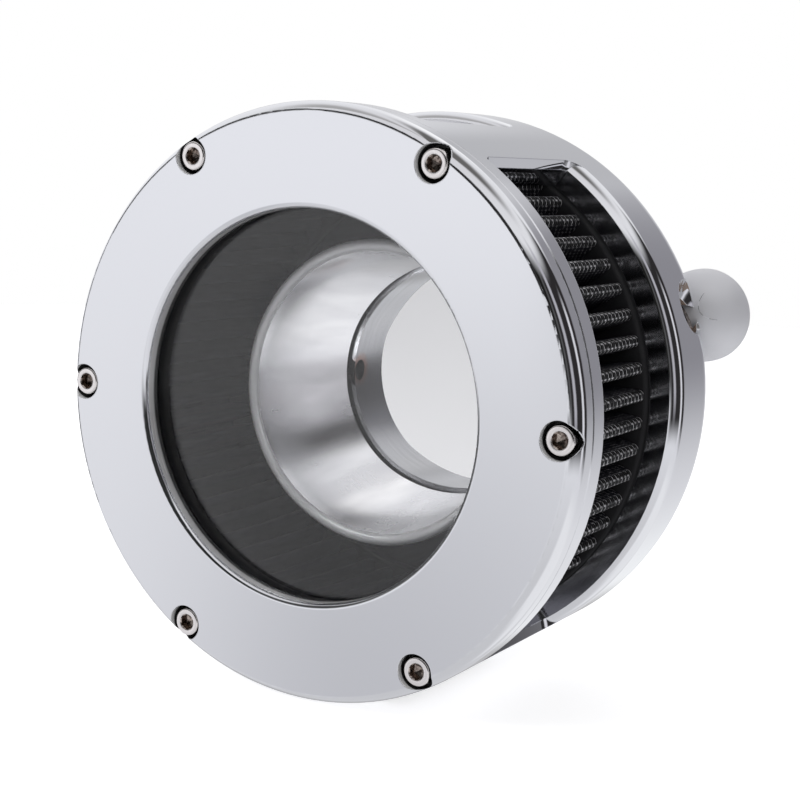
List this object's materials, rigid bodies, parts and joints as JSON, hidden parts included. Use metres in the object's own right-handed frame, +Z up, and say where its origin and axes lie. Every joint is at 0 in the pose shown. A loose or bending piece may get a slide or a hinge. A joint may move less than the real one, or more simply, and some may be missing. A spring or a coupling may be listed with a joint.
{
  "type": "air cleaner",
  "caption": "Round billet air cleaner: chromed cage with side windows, pleated filter, clear front lens under a bolted ring, velocity stack to the throat and two rear breather bosses.",
  "frame": {"origin": "centre of the housing's rear face, where the throttle body meets it", "axes": "+Y along the throat towards the engine, the cover ring faces -Y, +Z up, +X to the right seen from the front"},
  "size_m": [0.17, 0.1071, 0.1606],
  "materials": {
    "chrome_housing": "polished",
    "chrome_ring": "polished",
    "stainless_screws": "satin",
    "clear_lens": "gloss",
    "gasket_rubber": "matte",
    "pleat_media": "matte",
    "cap_rubber": "matte",
    "polished_stack": "polished",
    "seal_rubber": "satin",
    "steel_plug": "satin"
  },
  "bodies": {
    "root": {"housing": "chrome_housing", "cover_ring": "chrome_ring", "cover_screws": "stainless_screws", "window_lens": "clear_lens", "lens_gasket": "gasket_rubber", "filter_pleats": "pleat_media", "filter_front_cap": "cap_rubber", "filter_rear_cap": "cap_rubber", "velocity_stack": "polished_stack", "stack_seal": "seal_rubber", "throttle_seal": "seal_rubber", "passage_plug_left": "steel_plug", "passage_plug_right": "steel_plug", "breather_seal_left": "seal_rubber", "breather_seal_right": "seal_rubber"}
  },
  "joints": []
}
